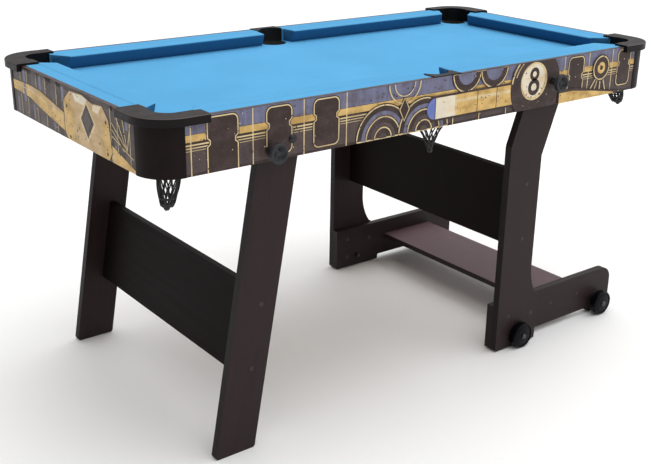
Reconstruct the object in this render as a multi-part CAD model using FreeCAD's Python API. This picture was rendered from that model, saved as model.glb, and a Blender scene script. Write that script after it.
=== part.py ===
import FreeCAD, Part
import math
import os
from FreeCAD import Vector

# Mini folding pool table, in millimetres.
# +X runs along the table, from the folding leg frame to the rolling base.
# +Y runs across it and +Z is up. The origin is on the floor, under the middle.

# Table top
APRON_LENGTH = 1508.0      # over the end aprons
APRON_WIDTH = 756.0        # over the long aprons
RAIL_TOP = 785.0           # top of the rails above the floor
APRON_HEIGHT = 118.0
APRON_THICK = 10.0
CORNER_RADIUS = 70.0       # plan radius of the rounded corners
PLAY_HEIGHT = 752.0        # top of the bed cloth
CLOTH_THICK = 1.0
BED_THICK = 12.0
GAP = 0.2                  # assembly gap between boards

# Rails and pockets
NOSE_INSET = 85.0          # cushion nose from the apron's outer face
RAIL_WOOD = 30.0           # width of the wooden part of a rail
NOSE_EDGE = 3.0            # narrow bevel along the cushion's top edge
NOSE_DROP = 6.0            # nose below the rail top
UNDERCUT = 13.0            # foot of the cushion behind its nose
CORNER_POCKET = (680.0, 310.0)
MIDDLE_POCKET_Y = 326.0
POCKET_RADIUS = 37.0
LINER_WALL = 3.0
CORNER_JAW = 55.0          # jaw tip from the crossing of the two nose lines
JAW_BACK = 31.0            # jaw slant over the cushion's width
MIDDLE_JAW = 50.0          # jaw tip from the middle of the side pocket
MIDDLE_JAW_BACK = 6.0
MIDDLE_FLANGE = (41.0, 345.0, 2.0)    # half length, inner edge, thickness

# Corner caps
CAP_OVERHANG = 12.0
CAP_ARM_X = 122.0          # cap arm along the long rail, from the corner
CAP_ARM_Y = 130.0          # cap arm along the end rail, from the corner
CAP_WIDTH = 28.0           # cap over the long rail, from the apron's outer face
CAP_WIDTH_END = 42.0       # cap over the end rail, from the apron's outer face
CAP_PLATE = 5.0            # cap thickness over the rails
CAP_LIP = 18.0             # height of the cap's outer lip
CAP_ROUND = 3.5            # rounding of the cap's outer top edge
SKIRT_PROUD = 1.5          # corner skirt beyond the aprons

# Battens under the bed
BATTEN_X = (-590, -240, 170, 560)
BATTEN_WIDTH = 40.0
BATTEN_DEPTH = 22.0
BATTEN_REACH = 338.0
BATTEN_SCREW_Y = (-300, -100, 100, 300)

# Pocket nets
NET_BOTTOM = 594.0
NET_WALL = 2.0
NET_RING = 41.0            # radius of the ring that holds the net to the bed

# Boards of the legs
BOARD = 20.0               # thickness of every leg board
LEG_OUTER_Y = 367.0        # outer face of the leg boards from the centre line
LEG_INNER_Y = LEG_OUTER_Y - BOARD
FOOT_INNER_Y = LEG_INNER_Y - BOARD

# Folding leg frame at the -X end
FOLD_FOOT_X = -630.6       # outer corner of the foot on the floor
FOLD_LEAN = 10.0           # lean of the legs from upright, degrees
FOLD_WIDTH = 100.0
FOLD_PIVOT = (-433.0, 706.0)
FOLD_TOP = 734.0
FOLD_BAR_LOW = 184.0       # crossbar along the leg, from the foot
FOLD_BAR_HIGH = 392.0
FOLD_BAR_FACE = 52.0       # crossbar face from the leg's outer edge
FOLD_LOCK = (-489.0, 690.0)

# Rolling base at the +X end
BASE_BACK_X = 244.0        # edge of the upright that faces the folding legs
BASE_WIDTH = 116.0
BASE_LEAN = 0.359          # slope of the upper, leaning part
BASE_BEND_BACK = 572.0
BASE_BEND_FRONT = 533.0
BASE_PIVOT = (404.0, 702.0)
BASE_TOP = 737.0
BASE_LOCK = (359.0, 729.0)
BASE_FLARE_X = 396.0       # widened foot of the upright
BASE_FLARE_LOW = 132.0
BASE_FLARE_HIGH = 225.0
BASE_CLEAR = 3.0           # boards above the floor, so that the wheels roll
BASE_BAR_X = 304.0
BASE_BAR_LOW = 286.0
BASE_BAR_HIGH = 490.0
FOOT_TOP = 130.0
FOOT_TIP_X = 735.0
FOOT_ARCH = 18.0
HEEL_PAD_END = 410.0
TIP_PAD_START = 655.0
SHELF_X = (440.0, 632.0)
SHELF_Z = (69.0, 84.0)
SLEEVE_SCREWS = ((286, 96), (375, 84), (286, 36))    # through each upright into its foot

# Wheels
WHEEL_RADIUS = 35.0
WHEEL_WIDTH = 21.0
HEEL_WHEEL_X = 327.0
TOE_WHEEL_X = 674.0
HEEL_WHEEL_Y = 369.0       # inner face of the heel wheels
TOE_WHEEL_Y = 359.0        # inner face of the toe wheels
HUB_PROUD = 1.0            # domed wheel face beyond its rim
AXLE_RADIUS = 5.0

# Hardware
PIVOT_RADIUS = 4.0
RUNNING = 0.06             # radial clearance of a running fit
LOCK_PIN = 4.0             # radius of the plunger pin
HOUSING_SLEEVE = 9.0       # radius of the plunger housing inside the apron
HOUSING_END = 12.0         # housing beyond the apron's outer face
CHAMBER_RADIUS = 7.0
CHAMBER_START = -6.0       # spring chamber, from the apron's outer face
CHAMBER_END = 10.0
COLLAR = 3.0               # collar of the plunger pin inside the chamber
KNOB_RADIUS = 22.0
KNOB_START = 13.0          # knob, from the apron's outer face
KNOB_END = 36.0
KNOB_COVER = 12.0          # end of the pin behind the knob's face
AXLE_HEAD = 7.0

HALF_X = APRON_LENGTH / 2
HALF_Y = APRON_WIDTH / 2
INNER_X = HALF_X - APRON_THICK
INNER_Y = HALF_Y - APRON_THICK
APRON_LOW = RAIL_TOP - APRON_HEIGHT
STRAIGHT_X = HALF_X - CORNER_RADIUS
STRAIGHT_Y = HALF_Y - CORNER_RADIUS
BED_TOP = PLAY_HEIGHT - CLOTH_THICK
BED_LOW = BED_TOP - BED_THICK
NOSE_X = HALF_X - NOSE_INSET
NOSE_Y = HALF_Y - NOSE_INSET
WOOD_X = INNER_X - RAIL_WOOD
WOOD_Y = INNER_Y - RAIL_WOOD
LINER_OUTER = POCKET_RADIUS + LINER_WALL
SIDES = {"front": -1, "back": 1}
ENDS = {"left": -1, "right": 1}


def block(x0, x1, y0, y1, z0, z1):
    """A box between two corners, given in any order."""
    low = Vector(min(x0, x1), min(y0, y1), min(z0, z1))
    return Part.makeBox(abs(x1 - x0), abs(y1 - y0), abs(z1 - z0), low)


def post(x, y, radius, z0, z1):
    """An upright cylinder."""
    return Part.makeCylinder(radius, z1 - z0, Vector(x, y, z0))


def cross_rod(x, z, radius, y0, y1):
    """A cylinder along Y, between two values of y given in any order."""
    return Part.makeCylinder(radius, abs(y1 - y0), Vector(x, min(y0, y1), z), Vector(0, 1, 0))


def cross_tube(x, z, outer, inner, y0, y1):
    """A tube along Y."""
    return cross_rod(x, z, outer, y0, y1).cut(cross_rod(x, z, inner, y0, y1))


def upright_plate(points, y0, y1):
    """A board with an outline of (x, z) points, standing between two values of y."""
    corners = [Vector(x, y0, z) for x, z in points]
    face = Part.Face(Part.makePolygon(corners + corners[:1]))
    return face.extrude(Vector(0, y1 - y0, 0))


def flat_plate(points, z0, z1):
    """A board with an outline of (x, y) points, lying between two heights."""
    corners = [Vector(x, y, z0) for x, y in points]
    face = Part.Face(Part.makePolygon(corners + corners[:1]))
    return face.extrude(Vector(0, 0, z1 - z0))


def round_corners(solid, corners):
    """Round the edges along Y that pass through (x, z, radius) corners."""
    for x, z, radius in corners:
        edges = []
        for edge in solid.Edges:
            ends = [vertex.Point for vertex in edge.Vertexes]
            if all(math.hypot(p.x - x, p.z - z) < 0.5 for p in ends):
                edges.append(edge)
        solid = solid.makeFillet(radius, edges)
    return solid


def turned(profile, x, y, z, axis):
    """A solid turned from (radius, along) points, standing at x, y, z along axis."""
    points = [Vector(radius, 0, along) for radius, along in profile]
    face = Part.Face(Part.makePolygon(points + points[:1]))
    solid = face.revolve(Vector(0, 0, 0), Vector(0, 0, 1), 360)
    turn = FreeCAD.Rotation(Vector(0, 0, 1), axis)
    solid.Placement = FreeCAD.Placement(Vector(x, y, z), turn)
    return solid


def across(solid):
    """The same solid on the other side of the centre line."""
    return solid.mirror(Vector(0, 0, 0), Vector(0, 1, 0))


def endwise(solid):
    """The same solid at the other end of the table."""
    return solid.mirror(Vector(0, 0, 0), Vector(1, 0, 0))


def on_side(solid, side):
    """A solid that was made on the +Y side, moved to the named side."""
    return solid if SIDES[side] > 0 else across(solid)


def at_end(solid, end):
    """A solid that was made at the +X end, moved to the named end."""
    return solid if ENDS[end] > 0 else endwise(solid)


def save(name, *solids):
    """Write one node of one or more separate solids."""
    shape = solids[0] if len(solids) == 1 else Part.makeCompound(list(solids))
    shape.exportStep("parts/" + name + ".step")


def rounded_slab(half_x, half_y, radius, z0, z1):
    """A flat slab with rounded corners, centred on the origin."""
    slab = block(-half_x + radius, half_x - radius, -half_y, half_y, z0, z1)
    slab = slab.fuse(block(-half_x, half_x, -half_y + radius, half_y - radius, z0, z1))
    for sx in (-1, 1):
        for sy in (-1, 1):
            slab = slab.fuse(post(sx * (half_x - radius), sy * (half_y - radius), radius, z0, z1))
    return slab.removeSplitter()


def pocket_holes(z0, z1):
    """The six pocket holes, as solids to cut with."""
    holes = []
    for sy in (-1, 1):
        holes.append(post(0, sy * MIDDLE_POCKET_Y, POCKET_RADIUS, z0, z1))
        for sx in (-1, 1):
            holes.append(post(sx * CORNER_POCKET[0], sy * CORNER_POCKET[1], POCKET_RADIUS, z0, z1))
    return holes


def make_bed():
    """The bed board, its cloth, and the battens under it with their screws."""
    radius = CORNER_RADIUS - APRON_THICK
    for name, z0, z1 in (("bed_board", BED_LOW, BED_TOP), ("bed_cloth", BED_TOP, PLAY_HEIGHT)):
        slab = rounded_slab(INNER_X - GAP, INNER_Y - GAP, radius - GAP, z0, z1)
        save(name, slab.cut(Part.makeCompound(pocket_holes(z0 - 1, z1 + 1))))
    battens = []
    screws = []
    low = BED_LOW - BATTEN_DEPTH
    screw_profile = [(0, 0), (4.5, 0), (2, 2.5), (2, BATTEN_DEPTH + 6), (0, BATTEN_DEPTH + 6)]
    for x in BATTEN_X:
        half = BATTEN_WIDTH / 2
        batten = block(x - half, x + half, -BATTEN_REACH, BATTEN_REACH, low, BED_LOW)
        for y in BATTEN_SCREW_Y:
            screw = turned(screw_profile, x, y, low, Vector(0, 0, 1))
            batten = batten.cut(screw)
            screws.append(screw.cut(block(x - 5, x + 5, y - 5, y + 5, BED_LOW, BED_TOP)))
        battens.append(batten)
    save("cross_battens", *battens)
    save("batten_screws", *screws)


def make_aprons():
    """Four apron boards and the rounded skirts that close the corners."""
    length = STRAIGHT_X - GAP
    for side in SIDES:
        apron = block(-length, length, INNER_Y, HALF_Y, APRON_LOW, RAIL_TOP)
        for x, z in (FOLD_PIVOT, BASE_PIVOT):
            apron = apron.cut(cross_rod(x, z, PIVOT_RADIUS, INNER_Y, HALF_Y))
        for x, z in (FOLD_LOCK, BASE_LOCK):
            apron = apron.cut(cross_rod(x, z, HOUSING_SLEEVE, INNER_Y, HALF_Y))
        save("apron_" + side, on_side(apron, side))
    width = STRAIGHT_Y - GAP
    for end in ENDS:
        apron = block(INNER_X, HALF_X, -width, width, APRON_LOW, RAIL_TOP)
        save("apron_end_" + end, at_end(apron, end))
    skirts = []
    for sx in (-1, 1):
        for sy in (-1, 1):
            x = sx * STRAIGHT_X
            y = sy * STRAIGHT_Y
            outer = post(x, y, CORNER_RADIUS + SKIRT_PROUD, APRON_LOW, RAIL_TOP)
            inner = post(x, y, CORNER_RADIUS - APRON_THICK, APRON_LOW, RAIL_TOP)
            reach = 2 * CORNER_RADIUS
            quarter = block(x, x + sx * reach, y, y + sy * reach, APRON_LOW, RAIL_TOP)
            skirts.append(outer.cut(inner).common(quarter))
    save("corner_skirts", *skirts)


def cushion_profile(width):
    """Points across a cushion as (distance from its back, height): a flat top and a cut-back face."""
    return [
        (0, PLAY_HEIGHT),
        (0, RAIL_TOP),
        (width - NOSE_EDGE, RAIL_TOP),
        (width - NOSE_EDGE / 4, RAIL_TOP - NOSE_EDGE / 2),
        (width, RAIL_TOP - NOSE_DROP),
        (width - UNDERCUT, PLAY_HEIGHT),
    ]


def make_rails():
    """Six rails, each a wooden strip with a rubber cushion on its inner face."""
    throat = post(CORNER_POCKET[0], CORNER_POCKET[1], LINER_OUTER + GAP, PLAY_HEIGHT, RAIL_TOP)
    profile = cushion_profile(WOOD_Y - NOSE_Y)
    start = LINER_OUTER + GAP
    tip = NOSE_X - CORNER_JAW
    wood = block(start, STRAIGHT_X - GAP, WOOD_Y, INNER_Y - GAP, PLAY_HEIGHT, RAIL_TOP).cut(throat)
    # A shallow notch in the rail takes the cheek of the corner cap.
    notch = block(
        tip + JAW_BACK, STRAIGHT_X, WOOD_Y, CORNER_POCKET[1] + LINER_OUTER + GAP, PLAY_HEIGHT, RAIL_TOP
    )
    wood = wood.cut(notch)
    corners = [Vector(0, WOOD_Y - reach, z) for reach, z in profile]
    bar = Part.Face(Part.makePolygon(corners + corners[:1])).extrude(Vector(STRAIGHT_X, 0, 0))
    outline = [
        (MIDDLE_JAW, NOSE_Y), (tip, NOSE_Y), (tip + JAW_BACK, WOOD_Y),
        (MIDDLE_JAW - MIDDLE_JAW_BACK, WOOD_Y),
    ]
    plan = flat_plate(outline, PLAY_HEIGHT, RAIL_TOP)
    cushion = bar.common(plan)
    for side in SIDES:
        for end in ENDS:
            name = side + "_" + end
            save("rail_" + name, on_side(at_end(wood, end), side))
            save("cushion_" + name, on_side(at_end(cushion, end), side))
    end_wood = block(WOOD_X, INNER_X - GAP, -STRAIGHT_Y + GAP, STRAIGHT_Y - GAP, PLAY_HEIGHT, RAIL_TOP)
    notch = block(
        WOOD_X, CORNER_POCKET[0] + LINER_OUTER + GAP, NOSE_Y - CORNER_JAW + JAW_BACK, STRAIGHT_Y,
        PLAY_HEIGHT, RAIL_TOP,
    )
    for cutter in (throat, notch):
        end_wood = end_wood.cut(cutter).cut(across(cutter))
    corners = [Vector(WOOD_X - reach, -STRAIGHT_Y, z) for reach, z in profile]
    bar = Part.Face(Part.makePolygon(corners + corners[:1])).extrude(Vector(0, 2 * STRAIGHT_Y, 0))
    tip = NOSE_Y - CORNER_JAW
    plan = flat_plate(
        [(NOSE_X, -tip), (WOOD_X, -tip - JAW_BACK), (WOOD_X, tip + JAW_BACK), (NOSE_X, tip)],
        PLAY_HEIGHT, RAIL_TOP,
    )
    end_cushion = bar.common(plan)
    for end in ENDS:
        save("rail_end_" + end, at_end(end_wood, end))
        save("cushion_end_" + end, at_end(end_cushion, end))


def corner_cap():
    """The moulded cap of the +X +Y corner: plate, hanging lip, pocket wall and two cheeks."""
    top = RAIL_TOP + CAP_PLATE
    low = top - CAP_LIP
    outline = rounded_slab(
        HALF_X + CAP_OVERHANG, HALF_Y + CAP_OVERHANG, CORNER_RADIUS + CAP_OVERHANG, low, top
    )
    rim = [edge for edge in outline.Edges if edge.BoundBox.ZMin > top - 0.01]
    outline = outline.makeFillet(CAP_ROUND, rim)
    arm_x = HALF_X - CAP_ARM_X
    arm_y = HALF_Y - CAP_ARM_Y
    far = HALF_X + CORNER_RADIUS
    cap = outline.common(block(arm_x, far, arm_y, far, low, top))
    proud = SKIRT_PROUD + GAP
    body = rounded_slab(HALF_X + proud, HALF_Y + proud, CORNER_RADIUS + proud, low, RAIL_TOP)
    cap = cap.cut(body)
    inner_x = HALF_X - CAP_WIDTH_END
    inner_y = HALF_Y - CAP_WIDTH
    px, py = CORNER_POCKET
    inside = block(0, px, 0, inner_y, low, top)
    inside = inside.fuse(block(0, inner_x, 0, py, low, top))
    inside = inside.fuse(post(px, py, LINER_OUTER, low, top))
    cap = cap.cut(inside)
    wall = post(px, py, LINER_OUTER, PLAY_HEIGHT, top)
    quarter = block(px, far, py, far, PLAY_HEIGHT, top)
    wall = wall.common(quarter).cut(post(px, py, POCKET_RADIUS, PLAY_HEIGHT, top))
    cheek_x = NOSE_X - CORNER_JAW + JAW_BACK + 1
    cheek_y = NOSE_Y - CORNER_JAW + JAW_BACK + 1
    long_cheek = block(cheek_x, px, py + POCKET_RADIUS, py + LINER_OUTER, PLAY_HEIGHT, top)
    end_cheek = block(px + POCKET_RADIUS, px + LINER_OUTER, cheek_y, py, PLAY_HEIGHT, top)
    return cap.fuse([wall, long_cheek, end_cheek]).removeSplitter()


def middle_liner():
    """The liner of the +Y side pocket: a curved wall and a flange on the apron's top edge."""
    half, inner, thickness = MIDDLE_FLANGE
    top = RAIL_TOP + thickness
    y = MIDDLE_POCKET_Y
    wall = post(0, y, LINER_OUTER, PLAY_HEIGHT, top)
    wall = wall.common(block(-LINER_OUTER, LINER_OUTER, WOOD_Y, HALF_Y, PLAY_HEIGHT, top))
    flange = block(-half, half, inner, HALF_Y + 1, RAIL_TOP, top)
    throat = post(0, y, POCKET_RADIUS, PLAY_HEIGHT, top)
    return wall.fuse(flange).cut(throat).removeSplitter()


def net_bag(x, y):
    """A pocket net as a thin bag with an open mouth, hanging from a ring under the bed."""
    z = BED_LOW
    depth = BED_LOW - NET_BOTTOM
    outer = [
        (NET_RING, 0), (NET_RING, -2.5), (POCKET_RADIUS, -2.5), (0.94 * POCKET_RADIUS, -0.28 * depth),
        (0.72 * POCKET_RADIUS, -0.68 * depth), (0.3 * POCKET_RADIUS, -0.95 * depth), (0, -depth),
    ]
    inner = [
        (0, NET_WALL - depth), (0.3 * POCKET_RADIUS - NET_WALL, NET_WALL - 0.95 * depth),
        (0.72 * POCKET_RADIUS - NET_WALL, NET_WALL - 0.68 * depth),
        (0.94 * POCKET_RADIUS - NET_WALL, -0.28 * depth), (POCKET_RADIUS - NET_WALL, 0),
    ]
    return turned(outer + inner, x, y, z, Vector(0, 0, 1))


def make_pockets():
    """Corner caps, side pocket liners and the nets."""
    cap = corner_cap()
    liner = middle_liner()
    for side in SIDES:
        for end in ENDS:
            save("corner_cap_" + side + "_" + end, on_side(at_end(cap, end), side))
        save("middle_pocket_" + side, on_side(liner, side))
    for end, sx in ENDS.items():
        x, y = CORNER_POCKET
        save("nets_" + end, net_bag(sx * x, -y), net_bag(sx * x, y))
    save("nets_middle", net_bag(0, -MIDDLE_POCKET_Y), net_bag(0, MIDDLE_POCKET_Y))


def both_sides(solid):
    """A solid on the +Y side and its mirror image."""
    return [across(solid), solid]


def make_pivots():
    """Pivot bolts with domed heads, their washers and nuts."""
    bolts = []
    washers = []
    nuts = []
    for x, z in (FOLD_PIVOT, BASE_PIVOT):
        inner = LEG_INNER_Y - 9
        shank = cross_rod(x, z, PIVOT_RADIUS, inner, HALF_Y)
        dome = Part.makeSphere(11, Vector(x, HALF_Y - 4, z)).common(
            cross_rod(x, z, 9.5, HALF_Y, HALF_Y + 12)
        )
        bolts += both_sides(shank.fuse(dome).removeSplitter())
        washers += both_sides(cross_tube(x, z, 10, PIVOT_RADIUS, LEG_OUTER_Y + 0.05, INNER_Y - 0.05))
        washers += both_sides(cross_tube(x, z, 9, PIVOT_RADIUS, LEG_INNER_Y - 1.5, LEG_INNER_Y - 0.05))
        hexagon = [
            (x + 7.5 * math.cos(math.radians(a)), z + 7.5 * math.sin(math.radians(a)))
            for a in range(0, 360, 60)
        ]
        nut = upright_plate(hexagon, LEG_INNER_Y - 8, LEG_INNER_Y - 1.5)
        nuts += both_sides(nut.cut(cross_rod(x, z, PIVOT_RADIUS, inner, LEG_INNER_Y)))
    save("pivot_bolts", *bolts)
    save("pivot_washers", *washers)
    save("pivot_nuts", *nuts)


def make_locks():
    """Four spring plungers: housing in the apron, pin, spring and a dished round knob."""
    housings = []
    springs = []
    outward = Vector(0, 1, 0)
    places = {"left": FOLD_LOCK, "right": BASE_LOCK}
    bore = LOCK_PIN + RUNNING
    housing_profile = [
        (bore, -APRON_THICK + 0.5), (HOUSING_SLEEVE, -APRON_THICK + 0.5), (HOUSING_SLEEVE, 0), (11.5, 0),
        (11.5, 2.5), (9.5, 3.5), (9.5, HOUSING_END - 1), (8.5, HOUSING_END), (bore, HOUSING_END),
        (bore, CHAMBER_END), (CHAMBER_RADIUS, CHAMBER_END), (CHAMBER_RADIUS, CHAMBER_START),
        (bore, CHAMBER_START),
    ]
    collar_start = CHAMBER_START + 0.2
    pin_profile = [
        (0, LEG_OUTER_Y + 0.2 - HALF_Y), (LOCK_PIN - 1, LEG_OUTER_Y + 0.2 - HALF_Y),
        (LOCK_PIN, LEG_OUTER_Y + 1.2 - HALF_Y), (LOCK_PIN, collar_start),
        (CHAMBER_RADIUS - 0.2, collar_start), (CHAMBER_RADIUS - 0.2, collar_start + COLLAR),
        (LOCK_PIN, collar_start + COLLAR), (LOCK_PIN, KNOB_END - KNOB_COVER), (0, KNOB_END - KNOB_COVER),
    ]
    spring_profile = [
        (LOCK_PIN + 0.3, collar_start + COLLAR + 0.1), (CHAMBER_RADIUS - 0.4, collar_start + COLLAR + 0.1),
        (CHAMBER_RADIUS - 0.4, CHAMBER_END - 0.1), (LOCK_PIN + 0.3, CHAMBER_END - 0.1),
    ]
    knob_profile = [
        (LOCK_PIN, KNOB_START), (9, KNOB_START), (8.5, KNOB_START + 4), (10, KNOB_START + 8),
        (KNOB_RADIUS - 2, KNOB_END - 11), (KNOB_RADIUS, KNOB_END - 9), (KNOB_RADIUS, KNOB_END - 1.5),
        (KNOB_RADIUS - 1.5, KNOB_END), (KNOB_RADIUS - 6.5, KNOB_END), (KNOB_RADIUS - 9, KNOB_END - 5),
        (7, KNOB_END - 6.5), (5, KNOB_END - 4.5), (0, KNOB_END - 4), (0, KNOB_END - KNOB_COVER),
        (LOCK_PIN, KNOB_END - KNOB_COVER),
    ]
    for end, (x, z) in places.items():
        housings += both_sides(turned(housing_profile, x, HALF_Y, z, outward))
        springs += both_sides(turned(spring_profile, x, HALF_Y, z, outward))
        pin = turned(pin_profile, x, HALF_Y, z, outward)
        knob = turned(knob_profile, x, HALF_Y, z, outward)
        for side in SIDES:
            name = side + "_" + end
            save("lock_pin_" + name, on_side(pin, side))
            save("lock_knob_" + name, on_side(knob, side))
    save("lock_housings", *housings)
    save("lock_springs", *springs)


def board_screw(x, z, y_head, length):
    """A countersunk screw going in along -Y from a board's outer face."""
    profile = [(0, 0), (5, 0), (5, 0.8), (2.6, 3.2), (2.6, length), (0, length)]
    return turned(profile, x, y_head, z, Vector(0, -1, 0))


def make_fold_frame():
    """The folding leg frame: two leaning legs joined by a broad crossbar."""
    lean = math.radians(FOLD_LEAN)

    def place(along, inward):
        """A point of the frame from its distance up the leg and from its outer edge."""
        x = FOLD_FOOT_X + along * math.sin(lean) + inward * math.cos(lean)
        return x, along * math.cos(lean) - inward * math.sin(lean)

    foot_width = FOLD_WIDTH / math.cos(lean)
    rise = math.tan(lean)
    px, pz = FOLD_PIVOT
    edge = (FOLD_FOOT_X + foot_width + pz * rise - px) * math.cos(lean)
    tangent = (px + edge * math.cos(lean), pz - edge * math.sin(lean))
    outline = [
        (FOLD_FOOT_X, 0), (FOLD_FOOT_X + foot_width, 0), tangent, (px, FOLD_TOP),
        (FOLD_FOOT_X + FOLD_TOP * rise, FOLD_TOP),
    ]
    leg = upright_plate(outline, LEG_INNER_Y, LEG_OUTER_Y)
    leg = leg.fuse(cross_rod(px, pz, edge, LEG_INNER_Y, LEG_OUTER_Y)).removeSplitter()
    leg = round_corners(leg, [(FOLD_FOOT_X, 0, 7), (FOLD_FOOT_X + foot_width, 0, 7)])
    leg = leg.cut(cross_rod(px, pz, PIVOT_RADIUS + RUNNING, 0, HALF_Y))
    leg = leg.cut(cross_rod(*FOLD_LOCK, LOCK_PIN + 0.5, 0, HALF_Y))
    corners = [
        place(FOLD_BAR_LOW, FOLD_BAR_FACE), place(FOLD_BAR_LOW, FOLD_BAR_FACE + BOARD),
        place(FOLD_BAR_HIGH, FOLD_BAR_FACE + BOARD), place(FOLD_BAR_HIGH, FOLD_BAR_FACE),
    ]
    bar = upright_plate(corners, -LEG_INNER_Y, LEG_INNER_Y)
    screws = []
    for along in (FOLD_BAR_LOW + 29, FOLD_BAR_HIGH - 29):
        x, z = place(along, FOLD_BAR_FACE + BOARD / 2)
        screws += both_sides(board_screw(x, z, LEG_OUTER_Y, 50))
    for screw in screws:
        bar = bar.cut(screw)
    leg = leg.cut(Part.makeCompound(screws))
    save("fold_leg_front", across(leg))
    save("fold_leg_back", leg)
    save("fold_crossbar", bar)
    save("fold_frame_screws", *screws)


def base_upright():
    """The +Y dog-leg upright of the rolling base, before its holes."""
    px, pz = BASE_PIVOT
    reach = BASE_TOP - pz
    front_x = BASE_BACK_X + BASE_WIDTH
    slope = math.hypot(1, BASE_LEAN)
    # Where the leaning front edge meets the rounded top about the pivot.
    offset = (front_x + (pz - BASE_BEND_FRONT) * BASE_LEAN - px) / slope
    run = math.sqrt(reach ** 2 - offset ** 2)
    meet = (px + (offset + run * BASE_LEAN) / slope, pz + (run - offset * BASE_LEAN) / slope)
    outline = [
        (BASE_BACK_X, BASE_CLEAR), (BASE_FLARE_X, BASE_CLEAR), (BASE_FLARE_X, BASE_FLARE_LOW),
        (BASE_FLARE_X - 5, BASE_FLARE_LOW), (front_x, BASE_FLARE_HIGH), (front_x, BASE_BEND_FRONT), meet,
        (px, BASE_TOP), (BASE_BACK_X + (BASE_TOP - BASE_BEND_BACK) * BASE_LEAN, BASE_TOP),
        (BASE_BACK_X, BASE_BEND_BACK),
    ]
    board = upright_plate(outline, LEG_INNER_Y, LEG_OUTER_Y)
    top = cross_rod(px, pz, reach, LEG_INNER_Y, LEG_OUTER_Y)
    beyond = upright_plate(
        [(px, BASE_TOP), meet, (px, pz)], LEG_INNER_Y, LEG_OUTER_Y
    ).fuse(upright_plate([(px, BASE_TOP), (meet[0], BASE_TOP), meet], LEG_INNER_Y, LEG_OUTER_Y))
    board = board.fuse(top.common(beyond)).removeSplitter()
    drop = BASE_FLARE_HIGH - BASE_FLARE_LOW
    side = BASE_FLARE_X - 5 - front_x
    flare = (drop ** 2 + side ** 2) / (2 * side)
    scoop = cross_rod(front_x + flare, BASE_FLARE_HIGH, flare, LEG_INNER_Y, LEG_OUTER_Y)
    below = block(front_x, BASE_FLARE_X + 1, 0, HALF_Y, BASE_FLARE_LOW, BASE_FLARE_HIGH)
    board = board.cut(scoop.common(below))
    return round_corners(board, [(BASE_BACK_X, BASE_CLEAR, 5), (BASE_BACK_X, BASE_BEND_BACK, 20)])


def base_foot():
    """The +Y foot board: a long board with a raised arch between its pads."""
    outline = [
        (BASE_BACK_X, BASE_CLEAR), (HEEL_PAD_END, BASE_CLEAR), (HEEL_PAD_END + 3, FOOT_ARCH),
        (TIP_PAD_START - 3, FOOT_ARCH), (TIP_PAD_START, BASE_CLEAR), (FOOT_TIP_X, BASE_CLEAR),
        (FOOT_TIP_X, FOOT_TOP), (BASE_BACK_X, FOOT_TOP),
    ]
    board = upright_plate(outline, FOOT_INNER_Y, LEG_INNER_Y)
    corners = [(FOOT_TIP_X, FOOT_TOP, 40), (FOOT_TIP_X, BASE_CLEAR, 8), (BASE_BACK_X, BASE_CLEAR, 5)]
    return round_corners(board, corners)


def make_base():
    """The rolling base: uprights, feet, crossbar, shelf, screws and axles."""
    upright = base_upright()
    foot = base_foot()
    upright = upright.cut(cross_rod(*BASE_PIVOT, PIVOT_RADIUS + RUNNING, 0, HALF_Y))
    upright = upright.cut(cross_rod(*BASE_LOCK, LOCK_PIN + 0.5, 0, HALF_Y))
    bar = block(BASE_BAR_X, BASE_BAR_X + BOARD, -LEG_INNER_Y, LEG_INNER_Y, BASE_BAR_LOW, BASE_BAR_HIGH)
    shelf = block(*SHELF_X, -FOOT_INNER_Y, FOOT_INNER_Y, *SHELF_Z)
    middle = BASE_BAR_X + BOARD / 2
    shelf_z = sum(SHELF_Z) / 2
    screws = []
    for z in (BASE_BAR_LOW + 27, BASE_BAR_HIGH - 27):
        screws.append(board_screw(middle, z, LEG_OUTER_Y, 50))
    for x in (SHELF_X[0] + 40, SHELF_X[1] - 40):
        screws.append(board_screw(x, shelf_z, LEG_INNER_Y, 45))
    sleeve = [(0, 0), (6, 0), (6, 1), (3.5, 2.5), (3.5, 37.5), (6, 39), (6, 40), (0, 40)]
    for x, z in SLEEVE_SCREWS:
        screws.append(turned(sleeve, x, LEG_OUTER_Y, z, Vector(0, -1, 0)))
    tools = Part.makeCompound(screws)
    upright = upright.cut(tools)
    foot = foot.cut(tools)
    bar = bar.cut(tools).cut(across(tools))
    shelf = shelf.cut(tools).cut(across(tools))
    axles = []
    collars = []
    for x, y in ((HEEL_WHEEL_X, HEEL_WHEEL_Y), (TOE_WHEEL_X, TOE_WHEEL_Y)):
        outer = y + WHEEL_WIDTH + HUB_PROUD + GAP
        end = FOOT_INNER_Y - 8
        shank = cross_rod(x, WHEEL_RADIUS, AXLE_RADIUS, end, outer)
        dome = [(0, 0), (AXLE_HEAD, 0), (AXLE_HEAD, 1.5), (AXLE_HEAD - 2, 3.5), (0, 4.5)]
        head = turned(dome, x, outer, WHEEL_RADIUS, Vector(0, 1, 0))
        axles.append(shank.fuse(head).removeSplitter())
        board_face = LEG_OUTER_Y if x == HEEL_WHEEL_X else LEG_INNER_Y
        collars.append(cross_tube(x, WHEEL_RADIUS, 10, AXLE_RADIUS, board_face, y - 0.2))
        collars.append(cross_tube(x, WHEEL_RADIUS, 9, AXLE_RADIUS, end + 1, FOOT_INNER_Y))
        bore = cross_rod(x, WHEEL_RADIUS, AXLE_RADIUS, FOOT_INNER_Y, board_face)
        upright = upright.cut(bore)
        foot = foot.cut(bore)
    for side in SIDES:
        save("base_upright_" + side, on_side(upright, side))
        save("base_foot_" + side, on_side(foot, side))
    save("base_crossbar", bar)
    save("base_shelf", shelf)
    save("base_screws", *[copy for screw in screws for copy in both_sides(screw)])
    save("wheel_axles", *[copy for axle in axles for copy in both_sides(axle)])
    save("axle_collars", *[copy for collar in collars for copy in both_sides(collar)])


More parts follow.
